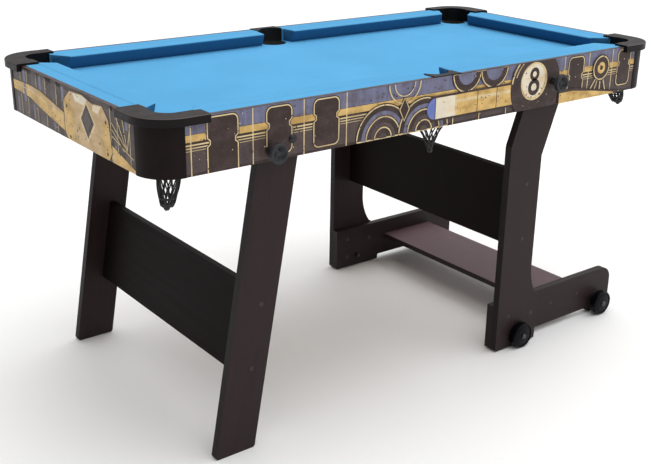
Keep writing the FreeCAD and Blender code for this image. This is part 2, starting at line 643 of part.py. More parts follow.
def make_wheels():
    """Four plastic wheels with a rounded rim, a groove and a domed outer face."""
    half = AXLE_RADIUS + RUNNING
    width = WHEEL_WIDTH
    rim = WHEEL_RADIUS
    profile = [
        (half, 0), (12, 0), (13, 3), (rim - 7, 3), (rim - 6, 0), (rim - 2, 0), (rim, 2),
        (rim, width - 4), (rim - 1, width - 1.5), (rim - 3, width), (rim - 6, width), (rim - 7, width - 2),
        (rim - 9, width - 2), (rim - 12, width - 0.6), (rim - 18, width + 0.4), (12, width + HUB_PROUD),
        (half, width + HUB_PROUD),
    ]
    for kind, x, y in (("heel", HEEL_WHEEL_X, HEEL_WHEEL_Y), ("toe", TOE_WHEEL_X, TOE_WHEEL_Y)):
        wheel = turned(profile, x, y, WHEEL_RADIUS, Vector(0, 1, 0))
        for side in SIDES:
            save("wheel_" + kind + "_" + side, on_side(wheel, side))


def main():
    os.makedirs("parts", exist_ok=True)
    make_bed()
    make_aprons()
    make_rails()
    make_pockets()
    make_pivots()
    make_locks()
    make_fold_frame()
    make_base()
    make_wheels()


main()
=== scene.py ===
"""Looks of the mini folding pool table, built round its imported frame.

Metres, with +Z up and +X towards the rolling base.
"""
import math
import random

import bmesh
import bpy
from mathutils import Matrix, Vector


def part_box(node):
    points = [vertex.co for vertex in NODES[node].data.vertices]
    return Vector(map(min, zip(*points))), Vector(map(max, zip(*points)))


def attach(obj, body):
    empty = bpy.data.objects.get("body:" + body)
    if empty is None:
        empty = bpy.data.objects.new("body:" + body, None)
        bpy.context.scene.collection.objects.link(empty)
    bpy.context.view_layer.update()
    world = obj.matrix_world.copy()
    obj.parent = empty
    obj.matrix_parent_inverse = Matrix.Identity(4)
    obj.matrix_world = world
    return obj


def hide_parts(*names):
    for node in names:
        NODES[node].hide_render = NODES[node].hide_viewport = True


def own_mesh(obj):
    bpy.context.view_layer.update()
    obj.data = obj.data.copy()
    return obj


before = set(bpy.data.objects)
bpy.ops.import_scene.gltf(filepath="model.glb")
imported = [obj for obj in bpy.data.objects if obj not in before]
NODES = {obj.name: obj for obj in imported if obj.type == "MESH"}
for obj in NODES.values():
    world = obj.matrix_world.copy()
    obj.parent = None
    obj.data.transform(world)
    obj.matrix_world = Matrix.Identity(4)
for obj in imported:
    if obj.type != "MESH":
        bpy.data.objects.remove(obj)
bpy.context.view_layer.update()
TOP = "table_top"
SIDES = {"front": -1, "back": 1}
ENDS = {"left": -1, "right": 1}
MM = 0.001

# Places read from the frame. POCKET is the radius of a pocket's hole and LINER the radius of its lining.
APRON_LOW, APRON_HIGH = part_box("apron_back")
APRON_HALF = APRON_HIGH.x
APRON_FACE = APRON_HIGH.y
END_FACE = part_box("apron_end_right")[1].x
END_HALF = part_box("apron_end_right")[1].y
APRON_TALL = APRON_HIGH.z - APRON_LOW.z
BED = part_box("bed_cloth")[1]
RAIL_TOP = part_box("rail_back_left")[1].z
NET_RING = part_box("nets_middle")[1].x
POCKET = NET_RING - 4 * MM
LINER = POCKET + 3 * MM
TUCK = 2 * MM
NETS_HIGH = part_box("nets_right")[1]
CORNER_POCKET = Vector((NETS_HIGH.x - NET_RING, NETS_HIGH.y - NET_RING))
MIDDLE_POCKET = Vector((0.0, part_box("nets_middle")[1].y - NET_RING))


# ---------------------------------------------------------------- materials

class Surface:
    """A node material and short ways to add to it. Vectors are in the object's own metres."""

    def __init__(self, name, rough=0.5, **inputs):
        self.mat = bpy.data.materials.new(name)
        self.mat.use_nodes = True
        self.nodes = self.mat.node_tree.nodes
        self.links = self.mat.node_tree.links
        self.shader = self.nodes["Principled BSDF"]
        self.place = self.nodes.new("ShaderNodeTexCoord").outputs["Object"]
        self.edge_normal = None
        self.shader.inputs["Roughness"].default_value = rough
        for key, value in inputs.items():
            self.shader.inputs[key.replace("_", " ")].default_value = value

    def feed(self, socket, value):
        """Give a socket a number, a colour or another node's output."""
        if isinstance(value, bpy.types.NodeSocket):
            self.links.new(value, socket)
        elif isinstance(value, (tuple, list)) and len(value) == 3 and socket.type == "RGBA":
            socket.default_value = (*value, 1.0)
        else:
            socket.default_value = value

    def math(self, kind, a, b=0.0, clamp=False):
        node = self.nodes.new("ShaderNodeMath")
        node.operation = kind
        node.use_clamp = clamp
        self.feed(node.inputs[0], a)
        self.feed(node.inputs[1], b)
        return node.outputs[0]

    def stretched(self, scale, vector=None):
        """The place, or another vector, scaled along each axis."""
        node = self.nodes.new("ShaderNodeMapping")
        node.inputs["Scale"].default_value = scale
        self.links.new(vector or self.place, node.inputs["Vector"])
        return node.outputs[0]

    def turned(self, angle, scale):
        """The place, turned about Y by an angle and then scaled along each axis."""
        turn = self.nodes.new("ShaderNodeVectorRotate")
        turn.rotation_type = "Y_AXIS"
        turn.inputs["Angle"].default_value = angle
        self.links.new(self.place, turn.inputs["Vector"])
        return self.stretched(scale, turn.outputs[0])

    def noise(self, scale, detail=3.0, vector=None, rough=0.55):
        node = self.nodes.new("ShaderNodeTexNoise")
        node.inputs["Scale"].default_value = scale
        node.inputs["Detail"].default_value = detail
        node.inputs["Roughness"].default_value = rough
        self.links.new(vector or self.place, node.inputs["Vector"])
        return node.outputs["Fac"]

    def cells(self, scale, vector=None):
        node = self.nodes.new("ShaderNodeTexVoronoi")
        node.inputs["Scale"].default_value = scale
        self.links.new(vector or self.place, node.inputs["Vector"])
        return node.outputs["Distance"]

    def ramp(self, value, low, high, to_low=0.0, to_high=1.0):
        """A value mapped from one range to another and kept inside it."""
        node = self.nodes.new("ShaderNodeMapRange")
        node.clamp = True
        self.feed(node.inputs["Value"], value)
        ends = {"From Min": low, "From Max": high, "To Min": to_low, "To Max": to_high}
        for key, number in ends.items():
            node.inputs[key].default_value = number
        return node.outputs[0]

    def mix(self, share, a, b):
        """Colour a, turning to colour b as share goes to one."""
        node = self.nodes.new("ShaderNodeMix")
        node.data_type = "RGBA"
        self.feed(node.inputs["Factor"], share)
        self.feed(node.inputs[6], a)
        self.feed(node.inputs[7], b)
        return node.outputs[2]

    def part_of(self, vector, axis):
        """A vector's part along one axis."""
        split = self.nodes.new("ShaderNodeSeparateXYZ")
        self.links.new(vector, split.inputs[0])
        return split.outputs["XYZ".index(axis)]

    def facing(self, axis):
        """How much the surface faces along an axis of its object, from -1 to 1."""
        coords = self.nodes.new("ShaderNodeTexCoord")
        return self.part_of(coords.outputs["Normal"], axis)

    def along(self, axis):
        """The place along one axis."""
        return self.part_of(self.place, axis)

    def within(self, spot, radius):
        """One inside a radius of a spot and of its mirror images, nought elsewhere."""
        dx = self.math("SUBTRACT", self.math("ABSOLUTE", self.along("X")), spot.x)
        dy = self.math("SUBTRACT", self.math("ABSOLUTE", self.along("Y")), spot.y)
        square = self.math("ADD", self.math("MULTIPLY", dx, dx), self.math("MULTIPLY", dy, dy))
        return self.math("LESS_THAN", square, radius * radius)

    def soft_edges(self, radius):
        """A normal that rounds off sharp edges, and a mask that is one on them."""
        bevel = self.nodes.new("ShaderNodeBevel")
        bevel.samples = 4
        bevel.inputs["Radius"].default_value = radius
        flat = self.nodes.new("ShaderNodeNewGeometry")
        dot = self.nodes.new("ShaderNodeVectorMath")
        dot.operation = "DOT_PRODUCT"
        self.links.new(bevel.outputs[0], dot.inputs[0])
        self.links.new(flat.outputs["Normal"], dot.inputs[1])
        self.edge_normal = bevel.outputs[0]
        return self.ramp(self.math("SUBTRACT", 1.0, dot.outputs["Value"]), 0.02, 0.22)

    def bump(self, height, distance, strength=1.0):
        node = self.nodes.new("ShaderNodeBump")
        node.inputs["Strength"].default_value = strength
        node.inputs["Distance"].default_value = distance
        self.feed(node.inputs["Height"], height)
        if self.edge_normal is not None:
            self.links.new(self.edge_normal, node.inputs["Normal"])
        self.links.new(node.outputs[0], self.shader.inputs["Normal"])

    def colour(self, value):
        self.feed(self.shader.inputs["Base Color"], value)

    def rough(self, value):
        self.feed(self.shader.inputs["Roughness"], value)


def shade(colour, factor):
    """A colour made lighter or darker."""
    return tuple(min(1.0, channel * factor) for channel in colour)


def cloth(name, colour, nap, under=None):
    """Napped billiard cloth: short fibres, faintly blotchy, and, where a darker colour is given, painted shade
    on the faces that do not look up.
    """
    s = Surface(name, rough=0.95, Sheen_Weight=0.06, Sheen_Roughness=0.5)
    s.feed(s.shader.inputs["Sheen Tint"], shade(colour, 1.3))
    s.shader.inputs["Specular IOR Level"].default_value = 0.08
    blotch = s.ramp(s.noise(7, 3), 0.3, 0.7)
    fibres = s.ramp(s.noise(1100, 4), 0.3, 0.72)
    brushed = s.ramp(s.noise(420, 3, s.stretched((0.22, 1, 1))), 0.25, 0.75)
    base = s.mix(blotch, shade(colour, 0.94), shade(colour, 1.04))
    base = s.mix(s.math("MULTIPLY", fibres, nap), base, shade(colour, 1.30))
    base = s.mix(s.math("MULTIPLY", brushed, 0.5 * nap), base, shade(colour, 0.74))
    # Painted shade: faces that look sideways or down take the darker colour.
    if under:
        base = s.mix(s.ramp(s.facing("Z"), 0.12, 0.62, 1, 0), base, under)
    s.colour(base)
    s.bump(s.math("ADD", fibres, s.math("MULTIPLY", s.noise(2600, 2), 0.6)), 0.25 * MM, 0.6)
    return s.mat


def laminate(name, colour, grain, face=None, edge=0.45, angle=0.0, gloss=0.16):
    """Dark wood-effect laminate: long soft streaks, fine pores, and darker edge banding.

    The grain runs along one axis, turned by an angle. The broad faces look along the face axis.
    """
    s = Surface(name, rough=0.5)
    s.shader.inputs["Specular IOR Level"].default_value = gloss
    stretch = tuple(0.045 if axis == grain else 1.0 for axis in "XYZ")
    place = s.turned(angle, stretch)
    streaks = s.ramp(s.noise(95, 5, place, 0.6), 0.32, 0.7)
    pores = s.ramp(s.noise(900, 3, place, 0.7), 0.54, 0.66)
    mottle = s.ramp(s.noise(28, 4), 0.3, 0.7)
    base = s.mix(streaks, shade(colour, 0.82), shade(colour, 1.16))
    base = s.mix(s.math("MULTIPLY", mottle, 0.3), base, shade(colour, 1.2))
    base = s.mix(s.math("MULTIPLY", pores, 0.55), base, shade(colour, 0.5))
    if face:
        banding = s.ramp(s.math("ABSOLUTE", s.facing(face)), 0.5, 0.75)
        base = s.mix(banding, shade(colour, edge), base)
    # Painted highlight: sharp edges are lightened.
    rim = s.soft_edges(0.9 * MM)
    base = s.mix(s.math("MULTIPLY", rim, 0.35), base, shade(colour, 1.9))
    s.colour(base)
    s.rough(s.ramp(streaks, 0, 1, 0.44, 0.56))
    s.bump(s.math("SUBTRACT", streaks, pores), 0.12 * MM, 0.5)
    return s.mat


def moulded(name, colour, rough=0.5, grain=1400, edge=2.2, level=0.35, shaded_walls=None):
    """Moulded plastic: a fine leathery texture, slight blotches, and paler edges that are a painted highlight.
    """
    s = Surface(name, rough=rough)
    s.shader.inputs["Specular IOR Level"].default_value = level
    texture = s.noise(grain, 2)
    blotch = s.ramp(s.noise(24, 4), 0.3, 0.7)
    rim = s.soft_edges(1.4 * MM)
    base = s.mix(blotch, shade(colour, 0.85), shade(colour, 1.15))
    # Painted highlight: the edge factor lightens sharp edges.
    base = s.mix(s.math("MULTIPLY", rim, 0.45), base, shade(colour, edge))
    # When shaded sides are given, the cap's sides take painted shade and its rim a painted highlight.
    if shaded_walls:
        base = cap_walls(s, base, shaded_walls, shade(colour, 5))
    s.colour(base)
    gloss = s.ramp(s.noise(60, 3), 0.3, 0.7, rough - 0.06, rough + 0.08)
    s.rough(s.math("ADD", gloss, s.ramp(s.facing("Z"), 0.6, 0.95, 0, 0.15)) if shaded_walls else gloss)
    s.bump(texture, 0.18 * MM, 0.45)
    return s.mat


def cap_walls(s, base, shaded_walls, pale):
    """A corner cap's upright sides in painted shade, darker than its top, under a rounded rim with a painted
    highlight.
    """
    up = s.facing("Z")
    # Painted shade: faces that do not look up take the darker tone.
    base = s.mix(s.ramp(up, 0.35, 0.8), shaded_walls, base)
    # Painted highlight on the rounded rim.
    rim_glint = s.math("MULTIPLY", s.ramp(up, 0.3, 0.55), s.ramp(up, 0.93, 0.8))
    base = s.mix(s.math("MULTIPLY", rim_glint, 0.8), base, pale)
    # Painted shade: inside the pocket the cap's upright sides are drawn a dull black.
    inside = s.ramp(s.along("Z"), RAIL_TOP, RAIL_TOP + MM, 1, 0)
    limits = {"X": CORNER_POCKET.x + LINER + 2 * MM, "Y": CORNER_POCKET.y + LINER + 0.4 * MM}
    for axis, limit in limits.items():
        share = s.ramp(s.math("ABSOLUTE", s.along(axis)), limit, limit + MM, 1, 0)
        inside = s.math("MULTIPLY", inside, share)
    return s.mix(inside, base, (0.004, 0.004, 0.004))


def metal(name, colour, rough=0.35, grain=700):
    """Plated steel with a fine brushed finish and dull spots."""
    s = Surface(name, rough=rough, Metallic=1.0)
    lines = s.noise(grain, 3, s.stretched((1, 0.1, 1)))
    spots = s.ramp(s.noise(160, 4), 0.5, 0.72)
    s.colour(s.mix(spots, colour, shade(colour, 0.6)))
    s.rough(s.ramp(lines, 0.3, 0.7, rough - 0.08, rough + 0.15))
    s.soft_edges(0.5 * MM)
    s.bump(lines, 0.05 * MM, 0.4)
    return s.mat


def fibreboard(name, colour):
    """Raw fibreboard: short pressed fibres and dark flecks."""
    s = Surface(name, rough=0.85)
    fibres = s.ramp(s.noise(520, 4, s.stretched((0.3, 1, 1))), 0.3, 0.7)
    flecks = s.ramp(s.cells(260), 0.05, 0.16)
    patch = s.ramp(s.noise(9, 3), 0.3, 0.7)
    base = s.mix(fibres, shade(colour, 0.82), shade(colour, 1.15))
    base = s.mix(s.math("MULTIPLY", patch, 0.35), base, shade(colour, 0.75))
    base = s.mix(s.math("MULTIPLY", s.math("SUBTRACT", 1.0, flecks), 0.5), base, shade(colour, 0.5))
    for spot in (CORNER_POCKET, MIDDLE_POCKET):
        # Painted shade: the edges of the pocket holes are drawn black, for the shade inside them.
        base = s.mix(s.within(spot, POCKET + 0.3 * MM), base, (0.005, 0.005, 0.005))
    s.colour(base)
    s.bump(fibres, 0.15 * MM, 0.5)
    return s.mat


def pine(name, colour):
    """Planed pine: long grain lines along Y and a few darker bands."""
    s = Surface(name, rough=0.65)
    place = s.stretched((1, 0.05, 1))
    grain = s.ramp(s.noise(240, 5, place), 0.3, 0.7)
    bands = s.ramp(s.noise(45, 3, place), 0.42, 0.62)
    base = s.mix(grain, shade(colour, 0.85), shade(colour, 1.1))
    s.colour(s.mix(s.math("MULTIPLY", bands, 0.5), base, shade(colour, 0.66)))
    s.bump(grain, 0.1 * MM, 0.5)
    return s.mat


def ink(name, colour, second, wear=0.35, stripes=0.0):
    """Satin printed laminate in one ink that drifts to a second tone, with grime, scuffs and specks."""
    s = Surface(name, rough=0.38)
    s.shader.inputs["Specular IOR Level"].default_value = 0.22
    clouds = s.ramp(s.noise(38, 5), 0.3, 0.72)
    specks = s.ramp(s.noise(420, 3, None, 0.7), 0.6, 0.7)
    dust = s.ramp(s.noise(650, 2), 0.62, 0.7)
    upright = s.ramp(s.noise(150, 3, s.stretched((1, 1, 0.04))), 0.35, 0.65)
    drift = s.ramp(s.noise(21, 4, s.stretched((1, 1, 1.7))), 0.46, 0.62)
    base = s.mix(drift, colour, second)
    base = s.mix(s.math("MULTIPLY", clouds, wear), base, shade(colour, 0.62))
    base = s.mix(s.math("MULTIPLY", upright, stripes), base, shade(colour, 1.35))
    base = s.mix(s.math("MULTIPLY", specks, wear), base, shade(colour, 0.35))
    base = s.mix(s.math("MULTIPLY", dust, 0.25 * wear), base, (0.75, 0.68, 0.52))
    s.colour(base)
    s.rough(s.ramp(clouds, 0, 1, 0.33, 0.46))
    s.bump(s.noise(300, 3), 0.04 * MM, 0.4)
    return s.mat


def net_cord(name):
    """Braided black cord with paler fibres that are a painted highlight."""
    s = Surface(name, rough=0.75, Sheen_Weight=0.15)
    braid = s.ramp(s.noise(1500, 3), 0.35, 0.7)
    # Painted highlight: paler fibre spots on the cord.
    pale = s.ramp(s.noise(240, 3), 0.6, 0.75)
    base = s.mix(braid, (0.004, 0.004, 0.004), (0.018, 0.017, 0.016))
    s.colour(s.mix(s.math("MULTIPLY", pale, 0.25), base, (0.16, 0.15, 0.14)))
    s.bump(braid, 0.3 * MM, 0.8)
    return s.mat


def make_materials():
    """Every material, by a short name."""
    blue = (0.100, 0.365, 0.640)
    # A darker blue, painted shade for the cushions' sides.
    shaded_side_blue = (0.028, 0.125, 0.255)
    wenge = (0.0255, 0.0150, 0.0158)
    charcoal = (0.025, 0.0215, 0.0208)
    # Near black, painted shade for the caps' upright sides.
    shaded_wall_black = (0.006, 0.004, 0.004)
    lean = math.radians(10)
    return {
        "bed": cloth("bed_cloth_blue", blue, 0.28),
        "rail": cloth("rail_cloth_blue", shade(blue, 0.97), 0.30),
        "cushion": cloth("cushion_cloth_blue", shade(blue, 0.97), 0.30, shaded_side_blue),
        "leg": laminate("wenge_upright", wenge, "Z", "Y"),
        "fold_leg": laminate("wenge_leaning", wenge, "Z", "Y", angle=-lean),
        "foot": laminate("wenge_foot", wenge, "X", "Y", 0.8),
        "crossbar": laminate("wenge_crossbar", shade(wenge, 0.32), "Y", gloss=0.05),
        "shelf": laminate("wenge_shelf", (0.122, 0.076, 0.086), "Y", "Z", 0.26),
        "cap": moulded("cap_charcoal", charcoal, 0.42, level=0.15, shaded_walls=shaded_wall_black),
        "liner": moulded("liner_black", (0.010, 0.010, 0.010), 0.5, edge=1.5, level=0.15),
        "skirt": moulded("skirt_black_brown", (0.0110, 0.0062, 0.0062), 0.42, edge=1.6, level=0.08),
        "knob": moulded("knob_dark_grey", (0.020, 0.021, 0.025), 0.36, 1800, level=0.28),
        "housing": moulded("housing_black", (0.012, 0.012, 0.014), 0.45, level=0.25),
        "wheel": moulded("wheel_black", (0.0022, 0.0024, 0.0042), 0.32, 1900, 1.8, 0.09),
        "steel": metal("zinc_steel", (0.42, 0.42, 0.43)),
        "dull_steel": metal("dull_screw_steel", (0.075, 0.062, 0.064), 0.5),
        "axle_steel": metal("axle_steel", (0.10, 0.10, 0.11), 0.45),
        "dark_steel": metal("black_steel", (0.05, 0.05, 0.055), 0.42),
        "board": fibreboard("raw_fibreboard", (0.36, 0.24, 0.13)),
        "pine": pine("raw_pine", (0.50, 0.34, 0.18)),
        "net": net_cord("black_net_cord"),
        "brown": ink("print_dark_brown", (0.039, 0.022, 0.018), (0.066, 0.042, 0.042), 0.5, 0.2),
        "dusk": ink("print_dusk_brown", (0.090, 0.062, 0.056), (0.062, 0.048, 0.058), 0.6, 0.3),
        "indigo": ink("print_indigo", (0.155, 0.160, 0.250), (0.115, 0.095, 0.125), 0.45, 0.5),
        "gold": ink("print_gold", (0.76, 0.50, 0.170), (0.50, 0.30, 0.085), 0.55),
        "cream": ink("print_cream", (0.78, 0.62, 0.34), (0.56, 0.40, 0.20), 0.4),
        "tan": ink("print_tan", (0.67, 0.47, 0.245), (0.52, 0.33, 0.12), 0.5),
        "ivory": ink("print_ivory", (0.84, 0.76, 0.60), (0.80, 0.64, 0.42), 0.3),
        "chalk": ink("print_chalk_blue", (0.14, 0.20, 0.52), (0.20, 0.22, 0.46), 0.35),
    }


# ---------------------------------------------------------------- mesh helpers

def finish_piece(name, bm, material, body, slot, *replaced, smooth=True):
    """Turn a bmesh into a piece that rides on a body and stands for CAD nodes."""
    bmesh.ops.recalc_face_normals(bm, faces=bm.faces)
    mesh = bpy.data.meshes.new(name)
    bm.to_mesh(mesh)
    bm.free()
    for one in material if isinstance(material, list) else [material]:
        mesh.materials.append(one)
    if smooth:
        mesh.shade_smooth()
        mesh.set_sharp_from_angle(angle=math.radians(62))
    piece = bpy.data.objects.new(name, mesh)
    bpy.context.scene.collection.objects.link(piece)
    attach(piece, body)
    if replaced:
        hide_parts(*replaced)
    return piece


def bridge(bm, lower, upper, closed=True, index=0):
    """Faces between two rings of vertices."""
    count = len(lower)
    for i in range(count if closed else count - 1):
        j = (i + 1) % count
        bm.faces.new((lower[i], lower[j], upper[j], upper[i])).material_index = index


def lathe(bm, profile, centre, axis, segments=64, wave=None):
    """Turn (radius, along) points about an axis. wave(angle, radius, along) may move a point along it."""
    turn = Vector((0, 0, 1)).rotation_difference(axis).to_matrix()
    rings = []
    for radius, along in profile:
        if radius < 1e-6:
            rings.append([bm.verts.new(Vector(centre) + turn @ Vector((0, 0, along)))])
            continue
        ring = []
        for i in range(segments):
            a = 2 * math.pi * i / segments
            z = along + (wave(a, radius, along) if wave else 0.0)
            spot = turn @ Vector((radius * math.cos(a), radius * math.sin(a), z))
            ring.append(bm.verts.new(Vector(centre) + spot))
        rings.append(ring)
    for one, two in zip(rings, rings[1:]):
        if len(one) == 1 and len(two) == 1:
            continue
        if len(one) == 1 or len(two) == 1:
            tip, ring = (one[0], two) if len(one) == 1 else (two[0], one)
            for i in range(segments):
                bm.faces.new((tip, ring[i], ring[(i + 1) % segments]))
        else:
            bridge(bm, one, two)


def tube(bm, path, radius, sides=8, closed=False):
    """A round tube along a path of points."""
    points = [Vector(p) for p in path]
    count = len(points)
    rings = []
    side = None
    for i, point in enumerate(points):
        before = points[i - 1] if (closed or i) else point
        after = points[(i + 1) % count] if (closed or i < count - 1) else point
        direction = (after - before).normalized()
        if side is None:
            side = direction.orthogonal().normalized()
        side = (side - side.dot(direction) * direction).normalized()
        up = direction.cross(side)
        turns = [2 * math.pi * k / sides for k in range(sides)]
        rings.append([bm.verts.new(point + radius * (math.cos(a) * side + math.sin(a) * up)) for a in turns])
    for one, two in zip(rings, rings[1:]):
        bridge(bm, one, two)
    if closed:
        bridge(bm, rings[-1], rings[0])
    else:
        bm.faces.new(rings[0])
        bm.faces.new(rings[-1])


def dress(node, material):
    """Give a CAD node its material."""
    piece = NODES[node]
    if piece.material_slots:
        for one in piece.material_slots:
            one.material = material
    else:
        piece.data.materials.append(material)


# ---------------------------------------------------------------- bed, rails and cushions

def make_bed(mats):
    """The bed cloth: one stretched sheet, cut round the pockets and tucked over their edges."""
    bm = bmesh.new()
    corner = 60 * MM
    steps = 12
    outline = []
    for sx, sy, start in ((1, 1, 0), (-1, 1, 90), (-1, -1, 180), (1, -1, 270)):
        for step in range(steps + 1):
            a = math.radians(start + step * 90 / steps)
            x = sx * (BED.x - corner) + corner * math.cos(a)
            outline.append((x, sy * (BED.y - corner) + corner * math.sin(a)))
    edges = loop_edges(bm, [bm.verts.new((x, y, BED.z)) for x, y in outline])
    rims = []
    for x, y in pocket_centres():
        ring = ring_verts(bm, x, y, POCKET + 1.5 * MM, BED.z)
        edges += loop_edges(bm, ring)
        rims.append((x, y, ring))
    bmesh.ops.triangle_fill(bm, use_beauty=True, edges=edges)
    for x, y, ring in rims:
        # The cloth rolls over each pocket's edge, and the tucked part below takes the black liner as painted
        # shade inside the hole.
        for inset, drop, index in ((0.6, 0.2, 0), (-0.2, 0.6, 1), (-0.4, 1.0, 1), (-0.4, TUCK / MM, 1)):
            lower = ring_verts(bm, x, y, POCKET + inset * MM, BED.z - drop * MM)
            bridge(bm, ring, lower, index=index)
            ring = lower
    piece = finish_piece("bed_cloth_sheet", bm, [mats["bed"], mats["liner"]], TOP, "cloth", "bed_cloth")
    width, length = 2 * BED.x, 2 * BED.y
    cut = width * length - (4 - math.pi) * corner ** 2
    cut += 6 * (2 * math.pi * POCKET * TUCK - math.pi * POCKET ** 2)


def loop_edges(bm, loop):
    """The edges that close a loop of vertices."""
    return [bm.edges.new((loop[i], loop[(i + 1) % len(loop)])) for i in range(len(loop))]


def pocket_centres():
    """The plan centres of the six pockets."""
    centres = [(sx * CORNER_POCKET.x, sy * CORNER_POCKET.y) for sx in (-1, 1) for sy in (-1, 1)]
    return centres + [(0.0, sy * MIDDLE_POCKET.y) for sy in (-1, 1)]


def ring_verts(bm, x, y, radius, z, count=64):
    """A level ring of vertices."""
    turns = [2 * math.pi * i / count for i in range(count)]
    return [bm.verts.new((x + radius * math.cos(a), y + radius * math.sin(a), z)) for a in turns]


CUSHION_DEEP = 45.0
CUSHION_TALL = 33.0
CUSHION_MIDDLE = (20.0, 18.0)
JAW_CORNER = 31
JAW_MIDDLE = 6
# How a cushion's end is rounded: the way along from its tip, and how far the section draws in there.
TIP_ROUNDING = ((0.0, 1.6), (0.5, 0.5), (1.6, 0.0))


def cushion_section():
    """A cushion's section, rounded at the nose: reach from its back and height over the bed, in mm."""
    nose = 3.4
    section = [(0.2, 0.4), (0.2, 16), (0.2, CUSHION_TALL - 0.8), (1.2, CUSHION_TALL)]
    section += [(reach, CUSHION_TALL + 0.1 * math.sin(math.pi * reach / 41)) for reach in (10, 20, 30, 38)]
    for step in range(7):
        a = math.radians(90 - step * 17)
        section.append((CUSHION_DEEP - nose + nose * math.cos(a), CUSHION_TALL - nose + nose * math.sin(a)))
    section += [(43.4, 24.5), (40.4, 17), (36.8, 9), (33.6, 1.2), (32.6, 0.4)]
    return section


def make_cushion(name, back, span, axis, sign, mats):
    """One cloth-covered rubber cushion.

    back is where its back face lies, and span holds its tips and how far each slants out to the back. It runs
    along axis, on one side of the table.
    """
    tip, slant = span
    steps = 36
    stations = [(0, offset, inset) for offset, inset in TIP_ROUNDING]
    stations += [(step / steps, 0.0, 0.0) for step in range(1, steps)]
    stations += [(1, -offset, inset) for offset, inset in reversed(TIP_ROUNDING)]
    bm = bmesh.new()
    rings = []
    for share, offset, inset in stations:
        ring = []
        for reach, height in cushion_section():
            pull = Vector((CUSHION_MIDDLE[0] - reach, CUSHION_MIDDLE[1] - height)).normalized() * inset
            r, h = reach + pull.x, height + pull.y
            start = tip[0] - slant[0] * (1 - r / CUSHION_DEEP)
            stop = tip[1] + slant[1] * (1 - r / CUSHION_DEEP)
            along = start + (stop - start) * share + offset
            across = back - sign * r
            flat = (along, across) if axis == "X" else (across, along)
            ring.append(bm.verts.new((flat[0] * MM, flat[1] * MM, BED.z + h * MM)))
        rings.append(ring)
    for one, two in zip(rings, rings[1:]):
        bridge(bm, one, two)
    bm.faces.new(rings[0])
    bm.faces.new(rings[-1])
    piece = finish_piece(name + "_cloth", bm, mats["cushion"], TOP, "cushion_rubber", name)


def make_rails(mats):
    """Cushions built in cloth, and the rails' strips dressed in it."""
    for side, sy in SIDES.items():
        low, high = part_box("cushion_" + side + "_right")
        back = sy * max(abs(low.y), abs(high.y)) / MM
        inner, outer = low.x / MM, high.x / MM
        for end, sx in ENDS.items():
            tips = sorted((sx * (inner + JAW_MIDDLE), sx * (outer - JAW_CORNER)))
            slant = (JAW_MIDDLE, JAW_CORNER) if sx > 0 else (JAW_CORNER, JAW_MIDDLE)
            make_cushion("cushion_" + side + "_" + end, back, (tips, slant), "X", sy, mats)
    low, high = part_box("cushion_end_right")
    for end, sx in ENDS.items():
        tip = high.y / MM - JAW_CORNER
        span = ((-tip, tip), (JAW_CORNER, JAW_CORNER))
        make_cushion("cushion_end_" + end, sx * high.x / MM, span, "Y", sx, mats)
    for node in NODES:
        if node.startswith("rail_"):
            dress(node, mats["rail"])
            round_edges(node, 1.6 * MM)


def round_edges(node, width, segments=3, angle=40):
    """Round a CAD node's sharp edges with a modifier."""
    mod = NODES[node].modifiers.new("round", "BEVEL")
    mod.width = width
    mod.segments = segments
    mod.limit_method = "ANGLE"
    mod.angle_limit = math.radians(angle)
    mod.harden_normals = False


# ---------------------------------------------------------------- pocket nets

# A strand's turn from ring to tip in radians, and the radii of a strand and of a hoop.
NET_TWIST = 1.95
STRAND = 1.5 * MM
HOOP = 1.8 * MM


